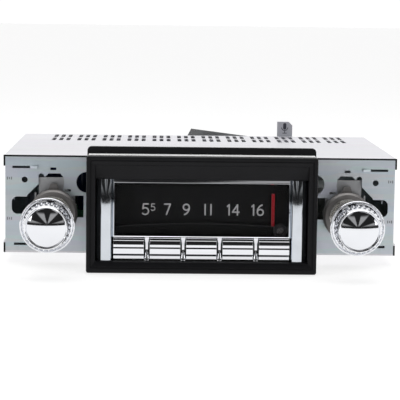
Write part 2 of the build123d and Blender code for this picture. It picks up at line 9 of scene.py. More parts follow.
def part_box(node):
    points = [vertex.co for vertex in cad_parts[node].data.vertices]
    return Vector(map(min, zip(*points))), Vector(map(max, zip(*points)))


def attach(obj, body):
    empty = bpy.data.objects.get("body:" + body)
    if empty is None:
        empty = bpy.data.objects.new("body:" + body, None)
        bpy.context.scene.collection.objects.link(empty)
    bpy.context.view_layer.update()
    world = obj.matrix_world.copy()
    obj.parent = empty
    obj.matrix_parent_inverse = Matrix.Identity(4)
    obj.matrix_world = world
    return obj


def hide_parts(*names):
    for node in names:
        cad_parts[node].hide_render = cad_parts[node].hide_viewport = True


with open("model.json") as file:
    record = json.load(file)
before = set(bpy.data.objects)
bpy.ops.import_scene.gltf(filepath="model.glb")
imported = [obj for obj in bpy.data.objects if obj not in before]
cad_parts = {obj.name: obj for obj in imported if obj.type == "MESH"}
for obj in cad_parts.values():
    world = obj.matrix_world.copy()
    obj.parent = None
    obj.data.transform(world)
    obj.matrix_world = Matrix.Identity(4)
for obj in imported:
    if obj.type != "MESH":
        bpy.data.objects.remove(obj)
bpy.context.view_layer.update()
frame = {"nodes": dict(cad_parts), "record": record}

NODES = frame["nodes"]
MM = 0.001
FRONT_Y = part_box("top_cover")[0].y / MM  # the chassis front, in the row's frame

# Shapes, in millimetres, with y measured from the chassis front -----------------------------------


def metres(x, y, z):
    """A point of the radio, with y from the chassis front, in the row's frame."""
    return Vector((x * MM, (y + FRONT_Y) * MM, z * MM))


def node_box(name):
    """(lowest, highest) corner of a CAD node in millimetres, with y from the chassis front."""
    low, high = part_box(name)
    return [Vector((c.x / MM, c.y / MM - FRONT_Y, c.z / MM)) for c in (low, high)]


def piece(name, points, faces, material, body, smooth_angle=35.0, stands_for=(), bevel=0.0):
    """Makes one visible piece from points in millimetres and lets it ride on a body."""
    mesh = bpy.data.meshes.new(name)
    mesh.from_pydata([metres(*p) for p in points], [], faces)
    mesh.validate()
    mesh.update()
    obj = bpy.data.objects.new(name, mesh)
    bpy.context.scene.collection.objects.link(obj)
    mesh.materials.append(material)
    mesh.polygons.foreach_set("use_smooth", [True] * len(mesh.polygons))
    mesh.set_sharp_from_angle(angle=math.radians(smooth_angle))
    if bevel:
        rounded = obj.modifiers.new("rounded_edges", "BEVEL")
        rounded.width = bevel * MM
        rounded.segments = 2
        rounded.limit_method = "ANGLE"
        rounded.angle_limit = math.radians(30)
        rounded.harden_normals = True
    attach(obj, body)
    if stands_for:
        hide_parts(*stands_for)
    return obj


def loft(rings, closed=False, cap_first=False, cap_last=False):
    """Points and faces that join rings of equal length; closed joins the last ring to the first."""
    size = len(rings[0])
    points = [p for ring in rings for p in ring]
    faces = []
    spans = len(rings) if closed else len(rings) - 1
    for i in range(spans):
        a = i * size
        b = ((i + 1) % len(rings)) * size
        for j in range(size):
            k = (j + 1) % size
            faces.append((a + j, a + k, b + k, b + j))
    if cap_first:
        faces.append(tuple(reversed(range(size))))
    if cap_last:
        start = (len(rings) - 1) * size
        faces.append(tuple(range(start, start + size)))
    return points, faces


def rounded_rectangle(half_x, low, high, radius, y, steps=6, top_half=None):
    """A ring in X and Z at one y, with round corners. top_half tapers it."""
    top = half_x if top_half is None else top_half
    ring = []
    corners = (
        (half_x - radius, low + radius, -90),
        (top - radius, high - radius, 0),
        (-top + radius, high - radius, 90),
        (-half_x + radius, low + radius, 180),
    )
    for x, z, start in corners:
        for step in range(steps + 1):
            turn = math.radians(start + 90 * step / steps)
            ring.append((x + radius * math.cos(turn), y, z + radius * math.sin(turn)))
    return ring


def circle(x, z, radius, y, segments, wave=None):
    """A ring about an axis along Y. wave(turn) adds to the radius."""
    ring = []
    for step in range(segments):
        turn = 2 * math.pi * step / segments
        r = radius + (wave(turn) if wave else 0.0)
        ring.append((x + r * math.cos(turn), y, z + r * math.sin(turn)))
    return ring


def prism(profile, x_from, x_to):
    """A solid with a (y, z) outline between two X."""
    size = len(profile)
    points = [(x_from, y, z) for y, z in profile] + [(x_to, y, z) for y, z in profile]
    faces = [(i, (i + 1) % size, size + (i + 1) % size, size + i) for i in range(size)]
    faces += [tuple(reversed(range(size))), tuple(range(size, 2 * size))]
    return points, faces


def even_steps(low, high, count):
    """Evenly spaced values from low to high."""
    return [low + (high - low) * step / count for step in range(count + 1)]


def block(name, x, y, z, finish):
    """A plain block on the chassis from three (low, high) pairs."""
    rings = [[(x[0], at, z[0]), (x[1], at, z[0]), (x[1], at, z[1]), (x[0], at, z[1])] for at in y]
    points, faces = loft(rings, cap_first=True, cap_last=True)
    piece(name, points, faces, FINISHES[finish], "chassis")


def chrome_piece(name, points, faces, smooth_angle, stands_for=(), finish="chrome"):
    """A chrome piece that rides on the chassis, with its faces turned outwards."""
    made = piece(name, points, faces, FINISHES[finish], "chassis", smooth_angle, stands_for)
    shape = bmesh.new()
    shape.from_mesh(made.data)
    bmesh.ops.recalc_face_normals(shape, faces=shape.faces)
    shape.to_mesh(made.data)
    shape.free()


# Materials ----------------------------------------------------------------------------------------

FLAKES_SCALE = 420.0
RELIEF_DEPTH = 0.00006


def noise(tree, vector, scale, detail):
    """The value of a noise texture."""
    made = tree.nodes.new("ShaderNodeTexNoise")
    made.inputs["Scale"].default_value = scale
    made.inputs["Detail"].default_value = detail
    tree.links.new(vector, made.inputs["Vector"])
    return made.outputs["Fac"]


def patchy_colour(tree, vector, patches, colour, tint, spangle):
    """The colour, a little darker and lighter in patches, with crystal flakes where spangle is given."""
    ramp = tree.nodes.new("ShaderNodeValToRGB")
    ramp.color_ramp.elements[0].position = 0.3
    ramp.color_ramp.elements[1].position = 0.7
    ramp.color_ramp.elements[0].color = (*[c * (1 - tint) for c in colour], 1)
    ramp.color_ramp.elements[1].color = (*[min(1.0, c * (1 + tint)) for c in colour], 1)
    tree.links.new(noise(tree, vector, patches, 4.0), ramp.inputs["Fac"])
    if not spangle:
        return ramp.outputs["Color"]
    cells = tree.nodes.new("ShaderNodeTexVoronoi")
    cells.inputs["Scale"].default_value = FLAKES_SCALE
    tree.links.new(vector, cells.inputs["Vector"])
    flakes = tree.nodes.new("ShaderNodeMix")
    flakes.data_type = "RGBA"
    flakes.blend_type = "SOFT_LIGHT"
    flakes.inputs["Factor"].default_value = spangle
    tree.links.new(ramp.outputs["Color"], flakes.inputs[6])
    tree.links.new(cells.outputs["Color"], flakes.inputs[7])
    return flakes.outputs[2]


def uneven_roughness(tree, place, fine, roughness, swing, scratches):
    """The roughness, a little up and down with the fine noise, with sparse scratches on request."""
    spread = tree.nodes.new("ShaderNodeMapRange")
    spread.inputs["To Min"].default_value = max(0.0, roughness - swing)
    spread.inputs["To Max"].default_value = roughness + swing
    tree.links.new(fine, spread.inputs["Value"])
    if not scratches:
        return spread.outputs["Result"]
    lines = tree.nodes.new("ShaderNodeTexWave")
    lines.inputs["Scale"].default_value = 70.0
    lines.inputs["Distortion"].default_value = 14.0
    lines.inputs["Detail"].default_value = 5.0
    tree.links.new(place, lines.inputs["Vector"])
    thin = tree.nodes.new("ShaderNodeMapRange")
    thin.inputs["From Min"].default_value = 0.93
    thin.inputs["To Max"].default_value = scratches
    tree.links.new(lines.outputs["Fac"], thin.inputs["Value"])
    total = tree.nodes.new("ShaderNodeMath")
    tree.links.new(spread.outputs["Result"], total.inputs[0])
    tree.links.new(thin.outputs["Result"], total.inputs[1])
    return total.outputs["Value"]


def surface(
    name, colour, roughness, metallic=0.0, tint=0.12, patches=60.0, grain=900.0, stretch=(1, 1, 1),
    rough_swing=0.08, bump=0.12, scratches=0.0, specular=0.5, glow=0.0, alpha=1.0, spangle=0.0,
):
    """A procedural finish: colour patches, uneven roughness and fine relief."""
    made = bpy.data.materials.new(name)
    made.use_nodes = True
    tree = made.node_tree
    shader = tree.nodes["Principled BSDF"]
    shader.inputs["Metallic"].default_value = metallic
    shader.inputs["Specular IOR Level"].default_value = specular
    shader.inputs["Alpha"].default_value = alpha
    # glow is emission: on the dial print and the needle it is painted light, on the floor an even backdrop
    if glow:
        shader.inputs["Emission Color"].default_value = (*colour, 1)
        shader.inputs["Emission Strength"].default_value = glow

    place = tree.nodes.new("ShaderNodeTexCoord").outputs["Object"]
    spread = tree.nodes.new("ShaderNodeMapping")
    spread.inputs["Scale"].default_value = stretch
    tree.links.new(place, spread.inputs["Vector"])
    vector = spread.outputs["Vector"]
    fine = noise(tree, vector, grain, 3.0)
    tone = patchy_colour(tree, vector, patches, colour, tint, spangle)
    tree.links.new(tone, shader.inputs["Base Color"])
    rough = uneven_roughness(tree, place, fine, roughness, rough_swing, scratches)
    tree.links.new(rough, shader.inputs["Roughness"])

    relief = tree.nodes.new("ShaderNodeBump")
    relief.inputs["Strength"].default_value = bump
    relief.inputs["Distance"].default_value = RELIEF_DEPTH
    tree.links.new(fine, relief.inputs["Height"])
    tree.links.new(relief.outputs["Normal"], shader.inputs["Normal"])
    return made


BRUSHED_X = (0.12, 1, 1)
FINISHES = {
    "plated_panel": surface(
        "plated_panel", (0.57, 0.62, 0.655), 0.42, 0.85, tint=0.07, patches=45, grain=1500,
        stretch=BRUSHED_X, rough_swing=0.06, bump=0.25, scratches=0.05, spangle=0.10,
    ),
    "plated_cover": surface(
        "plated_cover", (0.70, 0.695, 0.73), 0.36, 0.75, tint=0.04, patches=30, grain=1400,
        stretch=BRUSHED_X, rough_swing=0.07, bump=0.2, scratches=0.04, spangle=0.06,
    ),
    "bracket_zinc": surface(
        "bracket_zinc", (0.46, 0.465, 0.475), 0.45, 0.8, tint=0.12, patches=110, grain=1800, bump=0.3,
        scratches=0.08
    ),
    "control_grey": surface(
        "control_grey", (0.21, 0.20, 0.195), 0.42, 0.55, tint=0.1, patches=90, grain=1600, bump=0.2,
        rough_swing=0.1
    ),
    "zinc_screw": surface("zinc_screw", (0.66, 0.66, 0.64), 0.3, 1.0, patches=240, grain=2200, bump=0.2),
    "nickel": surface(
        "nickel", (0.66, 0.64, 0.60), 0.22, 1.0, tint=0.06, patches=180, grain=2000, bump=0.12
    ),
    "chrome": surface(
        "chrome", (0.80, 0.81, 0.84), 0.05, 1.0, tint=0.02, patches=70, grain=700, rough_swing=0.025,
        bump=0.02, scratches=0.015,
    ),
    # a darker copy of the chrome for the columns: painted shade
    "chrome_painted_shade": surface(
        "chrome_painted_shade", (0.60, 0.63, 0.67), 0.07, 1.0, tint=0.05, patches=140, grain=900, rough_swing=0.03,
        bump=0.04, scratches=0.02,
    ),
    "bezel_black": surface(
        "bezel_black", (0.0062, 0.0062, 0.0075), 0.38, tint=0.2, patches=80, grain=2600, bump=0.3,
        rough_swing=0.06, specular=0.16, scratches=0.04,
    ),
    "black_plastic": surface(
        "black_plastic", (0.022, 0.022, 0.024), 0.5, tint=0.15, patches=90, grain=2400, bump=0.4
    ),
    "dial_black": surface(
        "dial_black", (0.0022, 0.0022, 0.0023), 0.5, tint=0.2, patches=50, grain=2000, bump=0.15,
        specular=0.06
    ),
    # the print glows a little though it is no lamp: painted light
    "dial_print": surface(
        "dial_print", (0.50, 0.50, 0.51), 0.6, tint=0.08, patches=400, grain=3000, glow=0.14
    ),
    "lens": surface(
        "lens", (0.006, 0.006, 0.007), 0.06, tint=0.05, patches=20, grain=400, rough_swing=0.03,
        bump=0.01, alpha=0.06
    ),
    "dial_field": surface(
        "dial_field", (0.006, 0.006, 0.0065), 0.5, tint=0.15, patches=60, grain=2000, bump=0.15,
        specular=0.06
    ),
    "mask_edge": surface(
        "mask_edge", (0.035, 0.035, 0.037), 0.5, tint=0.15, patches=90, grain=2000, specular=0.1
    ),
    "eye_dark": surface(
        "eye_dark", (0.012, 0.004, 0.006), 0.12, tint=0.3, patches=200, grain=900, bump=0.03
    ),
    # the needle glows a little though it is no lamp: painted light
    "needle_red": surface(
        "needle_red", (0.36, 0.004, 0.012), 0.35, tint=0.1, patches=200, grain=1500, glow=0.12,
        specular=0.2
    ),
    "circuit_board": surface(
        "circuit_board", (0.012, 0.10, 0.035), 0.35, tint=0.5, patches=500, grain=1600, bump=0.3,
        specular=0.6
    ),
    "brass": surface("brass", (0.70, 0.50, 0.20), 0.28, 1.0, patches=150, grain=1500),
    "chip_black": surface("chip_black", (0.02, 0.02, 0.021), 0.6, patches=200, grain=3000, bump=0.4),
    "tinned_can": surface(
        "tinned_can", (0.66, 0.66, 0.64), 0.3, 1.0, patches=80, grain=1200, scratches=0.06
    ),
    "capacitor_sleeve": surface(
        "capacitor_sleeve", (0.012, 0.02, 0.07), 0.25, patches=150, grain=1400, bump=0.05
    ),
    "black_aluminium": surface(
        "black_aluminium", (0.03, 0.03, 0.032), 0.42, 0.7, patches=90, grain=2200, bump=0.25,
        scratches=0.06
    ),
    "fuse_plastic": surface("fuse_plastic", (0.50, 0.03, 0.02), 0.2, patches=150, grain=1200, bump=0.05),
    "label": surface("label", (0.55, 0.55, 0.60), 0.5, tint=0.05, patches=120, grain=1800, bump=0.15),
    "label_ink": surface("label_ink", (0.05, 0.05, 0.07), 0.6, patches=500, grain=2500),
    "dark_steel": surface(
        "dark_steel", (0.26, 0.265, 0.27), 0.5, 0.15, tint=0.2, patches=90, grain=1600, scratches=0.1
    ),
    "cord_fibre": surface("cord_fibre", (0.50, 0.47, 0.38), 0.8, patches=900, grain=4000, bump=0.6),
    "white_nylon": surface("white_nylon", (0.62, 0.62, 0.58), 0.4, tint=0.05, patches=200, grain=1500),
    # near-black sheet edges of the covers: painted shade for the dark gap at their front
    "edge_painted_shade": surface(
        "edge_painted_shade", (0.012, 0.012, 0.013), 0.6, 0.2, tint=0.3, patches=300, grain=2500, specular=0.2
    ),
    # near-white strip on the bezel's top edge: a painted highlight
    "painted_highlight_strip": surface(
        "painted_highlight_strip", (0.92, 0.92, 0.92), 0.5, 0.2, tint=0.03, patches=90, grain=1500
    ),
    "stamp_ink": surface("stamp_ink", (0.20, 0.21, 0.22), 0.6, patches=900, grain=2500),
}


def dress_nodes():
    """Gives every CAD node the finish of its own slot, with smooth round faces and sharp edges."""
    slots = {row["node"]: row["material_slot"] for row in frame["record"]["subparts"]}
    for name, obj in NODES.items():
        obj.data.materials.clear()
        obj.data.materials.append(FINISHES[slots[name]])
        obj.data.polygons.foreach_set("use_smooth", [True] * len(obj.data.polygons))
        obj.data.set_sharp_from_angle(angle=math.radians(28))


# Knobs --------------------------------------------------------------------------------------------

KNOB_SEGMENTS = 288
KNOB_BEADS = 28
KNOB_BORE = 3.1  # radius
KNOB_BORE_DEPTH = 11.0
KNOB_FACE = 9.05  # radius of the bright rim round the dome
BEAD_HEIGHT = 0.6
BAND_ROWS = 20
DOME_ROWS = 16


def bead_wave(share, shift):
    """How far the beads stand out at each turn, for a row of the band. shift staggers them."""
    height = BEAD_HEIGHT * abs(math.sin(math.pi * 2 * share))
    return lambda turn: height * max(0.0, math.cos(KNOB_BEADS * turn + shift))


def knob_skirt(lip, lip_y, back):
    """(radius, y) from the bore at the back, round the skirt and the thin lip, into the groove."""
    skirt = [(KNOB_BORE, back), (9.9, back), (10.25, back - 0.2), (10.4, back - 0.6), (10.8, lip_y + 1.8)]
    skirt += [(lip - 0.35, lip_y + 1.0), (lip - 0.06, lip_y + 0.7), (lip, lip_y + 0.4)]
    skirt += [(lip - 0.05, lip_y + 0.05), (lip - 0.3, lip_y - 0.18), (lip - 0.62, lip_y - 0.2)]
    skirt.append((lip - 0.85, lip_y - 0.02))
    skirt += [(lip - 0.9, lip_y + 1.0), (10.1, lip_y + 0.8), (10.05, lip_y + 0.6)]
    return skirt


def knob_rim(rim_y):
    """(radius, y) over the bright rim, from the band to the dome's edge."""
    rim = [(9.30, rim_y + 1.1), (9.22, rim_y + 0.8), (KNOB_FACE + 0.12, rim_y + 0.3)]
    rim += [(KNOB_FACE - 0.02, rim_y - 0.05), (KNOB_FACE - 0.22, rim_y - 0.22)]
    rim += [(KNOB_FACE - 0.45, rim_y - 0.12), (KNOB_FACE - 0.6, rim_y + 0.5)]
    return rim


def knob(side):
    """A chrome knob: skirt, thin lip, groove, beaded band, bright rim and a domed mirror face."""
    low, high = node_box(f"{side}_knob")
    x = (low.x + high.x) / 2
    z = (low.z + high.z) / 2
    pole = low.y
    back = high.y
    rim_y = pole + 1.5
    lip_y = pole + 9.5
    rings = [circle(x, z, r, y, KNOB_SEGMENTS) for r, y in knob_skirt((high.x - low.x) / 2, lip_y, back)]

    band_back = lip_y + 0.4
    band_front = rim_y + 1.3
    for row in range(BAND_ROWS + 1):
        share = row / BAND_ROWS
        y = band_back + (band_front - band_back) * share
        shift = math.pi if share > 0.5 else 0.0
        rings.append(circle(x, z, 9.95 - 0.55 * share, y, KNOB_SEGMENTS, bead_wave(share, shift)))
    rings += [circle(x, z, r, y, KNOB_SEGMENTS) for r, y in knob_rim(rim_y)]

    edge = KNOB_FACE - 0.65
    rise = rim_y + 0.5 - pole
    sphere = (edge**2 + rise**2) / (2 * rise)
    for row in range(DOME_ROWS):
        r = edge * (1 - row / DOME_ROWS)
        rings.append(circle(x, z, r, pole + sphere - math.sqrt(sphere**2 - r**2), KNOB_SEGMENTS))
    points, faces = loft(rings)
    start = len(points) - KNOB_SEGMENTS
    points.append((x, pole, z))
    faces += [(start + i, start + (i + 1) % KNOB_SEGMENTS, len(points) - 1) for i in range(KNOB_SEGMENTS)]

    bore = [circle(x, z, KNOB_BORE, y, KNOB_SEGMENTS) for y in (back, back - KNOB_BORE_DEPTH)]
    bore_points, bore_faces = loft(bore, cap_last=True)
    offset = len(points)
    points += bore_points
    faces += [tuple(reversed([offset + i for i in f])) for f in bore_faces]
    piece(
        f"{side}_knob_finished", points, faces, FINISHES["chrome"], f"{side}_knob_set", 50,
        (f"{side}_knob",),
    )


# Bezel --------------------------------------------------------------------------------------------

OPENING_HALF = 46.5
OPENING_LOW = 5.1
OPENING_HIGH = 47.4
SLOPE_FOOT = 41.0  # height where the bevel above the dial ends


def bezel():
    """The moulded black frame: rounded edges, a fine groove round its face and a bevel above the dial."""
    low, high = node_box("bezel")
    half = high.x
    front = low.y
    back = high.y
    top = high.z

    def ring(inset, y, radius):
        """A ring a little in from the outer edge."""
        return rounded_rectangle(half - inset, inset, top - inset, radius, y)

    def between(share, y):
        """A ring part of the way from the outer edge to the opening."""
        x = half + (OPENING_HALF - half) * share
        foot = OPENING_LOW * share
        head = top + (OPENING_HIGH - top) * share
        return rounded_rectangle(x, foot, head, 1.0 - 0.75 * share, y)

    rings = [ring(0.0, back, 1.0), ring(0.0, front + 0.75, 1.0), ring(0.1, front + 0.35, 1.0)]
    rings += [ring(0.35, front + 0.08, 0.95), ring(0.7, front, 0.9)]
    rings += [between(0.42, front + 0.12), between(0.45, front + 0.45), between(0.52, front + 0.45)]
    rings += [between(0.55, front + 0.18), between(0.88, front + 0.35), between(0.96, front + 0.6)]
    rings += [between(1.0, front + 1.2), between(1.0, back - 0.6)]
    rings += [rounded_rectangle(half - 1.0, 1.0, top - 1.0, 0.6, back)]
    points, faces = loft(rings, closed=True)
    faces = [tuple(reversed(f)) for f in faces]

    slope = [(front + 1.0, OPENING_HIGH), (front + 1.1, OPENING_HIGH - 0.35), (front + 3.9, SLOPE_FOOT + 0.5)]
    slope += [(front + 4.3, SLOPE_FOOT + 0.1), (front + 4.9, SLOPE_FOOT), (back - 0.1, SLOPE_FOOT)]
    slope += [(back - 0.1, OPENING_HIGH + 0.4), (front + 2.0, OPENING_HIGH + 0.4)]
    wedge_points, wedge_faces = prism(slope, -OPENING_HALF - 0.2, OPENING_HALF + 0.2)
    offset = len(points)
    points += wedge_points
    faces += [tuple(offset + i for i in f) for f in wedge_faces]
    piece("bezel_moulding", points, faces, FINISHES["bezel_black"], "chassis", 30, ("bezel",))


# Chrome surround ----------------------------------------------------------------------------------

COLUMN_FLAT = 24.0  # the columns lean back above this height
COLUMN_CURVE = 0.0094
# Distance in from a column's outer edge, and set back from its front
COLUMN_FACE = (
    (0.0, 2.2), (0.15, 2.0), (1.95, 0.35), (2.2, 0.25), (4.2, 0.15), (6.0, 0.25),
    (6.3, 0.4), (7.2, 1.7), (7.3, 1.75), (7.4, 1.3), (7.75, 1.2), (7.9, 1.4),
)
BARS_START = 7.6  # the top, foot and crossbar start this far in from the outer edge
BAY_LOW = 5.65  # foot of the bay that holds the keys
DIVIDER_ROWS = 14
DIVIDER_DEPTH = 5.5


def lean_back(z):
    """How far the front of the surround has leaned back at a height."""
    return 0.5 * COLUMN_CURVE * max(0.0, z - COLUMN_FLAT) ** 2


def surround_column(side, name, crossbar_low, bay_half, window_half):
    """One upright side of the surround. side is -1 or 1."""
    low, high = node_box("chrome_surround")
    depth = high.y - low.y
    profile = ((0.0, depth), *COLUMN_FACE, (COLUMN_FACE[-1][0], depth))
    rings = []
    for z in even_steps(low.z, crossbar_low, 8) + even_steps(crossbar_low + 0.02, high.z, 20):
        nearest = bay_half if z <= crossbar_low else window_half
        ring = []
        for inward, set_back in profile:
            across = max(high.x - inward, nearest)
            ring.append((side * across, min(low.y + set_back + lean_back(z), high.y), z))
        rings.append(ring)
    points, faces = loft(rings, cap_first=True, cap_last=True)
    stands_for = ("chrome_surround",) if side < 0 else ()
    # The columns take the darker chrome copy, which is painted shade.
    chrome_piece(f"surround_column_{name}", points, faces, 28, stands_for, "chrome_painted_shade")


def surround():
    """The chrome frame round the window and the keys: columns, top, foot, crossbar and dividers."""
    low, high = node_box("chrome_surround")
    lens_low, lens_high = node_box("dial_lens")
    front = low.y
    back = high.y
    crossbar_low = lens_low.z - 0.45
    bay_half = node_box("button_5")[1].x + 0.3
    for side, name in ((-1, "left"), (1, "right")):
        surround_column(side, name, crossbar_low, bay_half, lens_high.x)

    face = front + lean_back(high.z)
    top = [(back, high.z), (face + 0.6, high.z), (face + 0.45, high.z - 0.15), (face + 0.42, high.z - 0.35)]
    top += [(face + 0.22, high.z - 1.3), (face + 0.22, high.z - 1.5)]
    top += [(face + 0.9, lens_high.z), (back, lens_high.z)]
    foot = [(back, low.z), (back, BAY_LOW), (front + 1.6, BAY_LOW), (front + 0.7, BAY_LOW - 0.1)]
    foot += [(front + 0.5, low.z + 0.1), (front + 0.8, low.z)]
    crossbar = [(front + 1.0, crossbar_low + 0.1), (front + 0.8, crossbar_low + 0.25)]
    crossbar += [(front + 1.0, lens_low.z), (back - 3.0, lens_low.z), (back - 3.0, crossbar_low)]
    crossbar.append((front + 2.0, crossbar_low))
    inner = high.x - BARS_START
    for name, profile in (("top", top), ("foot", foot), ("crossbar", crossbar)):
        points, faces = prism(profile, -inner, inner)
        chrome_piece(f"surround_{name}", points, faces, 30)

    keys = [node_box(f"button_{number}") for number in range(1, 6)]
    for number in range(4):
        left = keys[number][1].x
        right = keys[number + 1][0].x
        half = (right - left) / 2 - 0.25
        divider(f"surround_divider_{number + 1}", (left + right) / 2, half, front, crossbar_low)


def divider(name, x, half, front, top):
    """A slim post between two keys, fuller at its top and foot."""
    rings = []
    for row in range(DIVIDER_ROWS + 1):
        share = row / DIVIDER_ROWS
        z = BAY_LOW - 0.1 + (top - BAY_LOW + 0.2) * share
        swell = 0.5 + 0.5 * math.cos(2 * math.pi * share)
        wide = half * (0.72 + 0.28 * swell**2)
        deep = front + 0.05 + 1.0 * (1 - swell)
        back = front + DIVIDER_DEPTH
        half_ring = [(wide, back), (wide, deep + 0.5), (wide * 0.7, deep + 0.15)]
        ring = [(x - across, y, z) for across, y in half_ring]
        ring.append((x, deep, z))
        ring += [(x + across, y, z) for across, y in reversed(half_ring)]
        rings.append(ring)
    points, faces = loft(rings, cap_first=True, cap_last=True)
    piece(name, points, faces, FINISHES["chrome"], "chassis", 40)


# Keys ---------------------------------------------------------------------------------------------

# Lean back of each facet of a key's face in degrees, and its height in millimetres, from the top down
KEY_FACETS = ((24, 0.75), (3, 0.45), (20, 1.35), (0, 1.25), (24, 0.65), (-1, 2.3))
FACET_STEPS = 4
CAP_DEPTH = 6.6
STEM_Z = 10.5
STEM_RADIUS = 1.5
STEM_TIP_RADIUS = 1.2


def key(number):
    """One chrome push button: leaning and upright facets above one another, and an undercut foot."""
    low, high = node_box(f"button_{number}")
    x_low = low.x
    x_high = high.x
    z_low = low.z
    z_high = high.z
    front = low.y
    back = front + CAP_DEPTH
    y = front + 1.1
    z = z_high - 0.25
    profile = [(back, z_high), (y + 0.25, z_high), (y, z)]
    for lean, height in KEY_FACETS:
        for _ in range(FACET_STEPS):
            y -= height / FACET_STEPS * math.tan(math.radians(lean))
            z -= height / FACET_STEPS
            profile.append((y, z))
    profile += [(y + 0.9, z - 0.9), (y + 1.1, z_low), (back, z_low)]
    points, faces = prism(profile, x_low, x_high)
    piece(
        f"button_{number}_cap", points, faces, FINISHES["chrome"], f"key_{number}", 24,
        (f"button_{number}",), 0.12,
    )
    middle = (x_low + x_high) / 2
    rings = [circle(middle, STEM_Z, STEM_RADIUS, y, 24) for y in (back - 0.5, high.y - 0.3)]
    rings.append(circle(middle, STEM_Z, STEM_TIP_RADIUS, high.y, 24))
    points, faces = loft(rings, cap_first=True, cap_last=True)
    piece(f"button_{number}_stem", points, faces, FINISHES["white_nylon"], f"key_{number}")


# Small added pieces -------------------------------------------------------------------------------

PRINT_THICK = 0.06
INK_THICK = 0.05
CAPSULE_RADIUS = 0.85
CAPSULE_STRETCH = 0.9
CRADLE_INNER = 1.45
CRADLE_OUTER = 1.8
SHEET = 0.8  # thickness of the covers
# thickness of the near-black edge pieces, which are painted shade
EDGE_THICK = 0.06
# depth and height of the bezel's pale top strip, a painted highlight
STRIP_DEPTH = 7.5
STRIP_HIGH = 0.12
FIELD_X = (-29.5, 30.0)
FIELD_Z = (18.4, 36.0)
MASK_SIDE = 19.0  # the mask's upper line at both ends of the window
MASK_MIDDLE = 20.8
MASK_LINE = 0.3


def printed_mark(name, x, y, z, width, height, finish):
    """A thin printed mark on the chassis, standing off a face that looks forward."""
    half_x = width / 2
    half_z = height / 2
    corners = [(-half_x, -half_z), (half_x, -half_z), (half_x, half_z), (-half_x, half_z)]
    rings = [[(x + across, at, z + up) for across, up in corners] for at in (y, y - PRINT_THICK)]
    points, faces = loft(rings, cap_first=True, cap_last=True)
    piece(name, points, faces, FINISHES[finish], "chassis")


def microphone_mark():
    """A generic microphone sign on the label flag, in place of words."""
    low, high = node_box("mic_flag")
    x = (low.x + high.x) / 2
    y = low.y
    top = high.z
    ink = FINISHES["label_ink"]
    capsule = []
    for step in range(24):
        turn = 2 * math.pi * step / 24
        stretch = CAPSULE_STRETCH if turn < math.pi else -CAPSULE_STRETCH
        z = top - 2.4 + CAPSULE_RADIUS * math.sin(turn) + stretch
        capsule.append((x + CAPSULE_RADIUS * math.cos(turn), y, z))
    front = [(px, py - INK_THICK, pz) for px, py, pz in capsule]
    points, faces = loft([capsule, front], cap_first=True, cap_last=True)
    piece("flag_mark_capsule", points, faces, ink, "chassis")

    section = ((CRADLE_INNER, 0.0), (CRADLE_INNER, INK_THICK), (CRADLE_OUTER, INK_THICK), (CRADLE_OUTER, 0.0))
    rings = []
    for step in range(13):
        turn = math.radians(180 + 180 * step / 12)
        rings.append([(x + r * math.cos(turn), y - d, top - 3.0 + r * math.sin(turn)) for r, d in section])
    points, faces = loft(rings, cap_first=True, cap_last=True)
    piece("flag_mark_cradle", points, faces, ink, "chassis")
    printed_mark("flag_mark_stand", x, y, top - 5.3, 0.36, 1.2, "label_ink")
    printed_mark("flag_mark_foot", x, y, top - 6.0, 2.2, 0.36, "label_ink")


def panel_marks():
    """Rows of tiny stamped ticks near both ends of the front panel."""
    for side, end in ((-1, "left"), (1, "right")):
        for group, z in enumerate((38.2, 19.9)):
            for tick in range(3):
                x = side * (85.4 + 0.9 * tick)
                name = f"panel_tick_{end}_{group}_{tick}"
                printed_mark(name, x, 0.0, z, 0.45, 1.3 - 0.3 * (tick % 2), "stamp_ink")


def edge_shade_and_highlight():
    """The covers' sheet edges, near-black as painted shade, and a pale strip on top of the bezel as a painted
    highlight.
    """
    y = (-EDGE_THICK, 0.0)
    low, high = node_box("top_cover")
    # Near-black pieces on the covers' front edges: painted shade.
    block("cover_edge_top", (low.x, high.x), y, (high.z - SHEET, high.z - 0.02), "edge_painted_shade")
    for name in ("top_cover", "bottom_cover"):
        low, high = node_box(name)
        for side, end in ((-1, "left"), (1, "right")):
            x = sorted((side * high.x, side * (high.x - SHEET)))
            block(f"{name}_edge_{end}", x, y, (low.z, high.z - SHEET), "edge_painted_shade")
    # A pale strip along the bezel's top edge: a painted highlight.
    low, high = node_box("bezel")
    x = (low.x + 0.8, high.x - 0.8)
    z = (high.z, high.z + STRIP_HIGH)
    block("bezel_top_painted_highlight", x, (high.y - STRIP_DEPTH, high.y), z, "painted_highlight_strip")


def socket_fittings():
    """Pins in the power socket and the tongue of the USB socket."""
    low, high = node_box("power_socket")
    for row in range(2):
        for column in range(5):
            x = low.x + 4.0 + column * (high.x - low.x - 8.0) / 4
            z = low.z + 4.2 + row * (high.z - low.z - 8.4)
            rings = []
            for y, half in ((low.y + 1.5, 0.55), (high.y - 2.2, 0.55), (high.y - 1.6, 0.3)):
                rings.append([(x - half, y, z - half), (x + half, y, z - half), (x + half, y, z + half)])
                rings[-1].append((x - half, y, z + half))
            points, faces = loft(rings, cap_first=True, cap_last=True)
            name = f"power_pin_{row}_{column}"
            piece(name, points, faces, FINISHES["brass"], "chassis", bevel=0.08)
    low, high = node_box("usb_socket")
    middle = (low.z + high.z) / 2
    tongue = [(low.y + 1.2, middle + 0.6), (low.y + 1.2, middle + 2.4), (high.y - 1.0, middle + 2.4)]
    tongue.append((high.y - 1.0, middle + 0.6))
    points, faces = prism(tongue, low.x + 3.0, high.x - 3.0)
    piece("usb_tongue", points, faces, FINISHES["white_nylon"], "chassis", bevel=0.12)


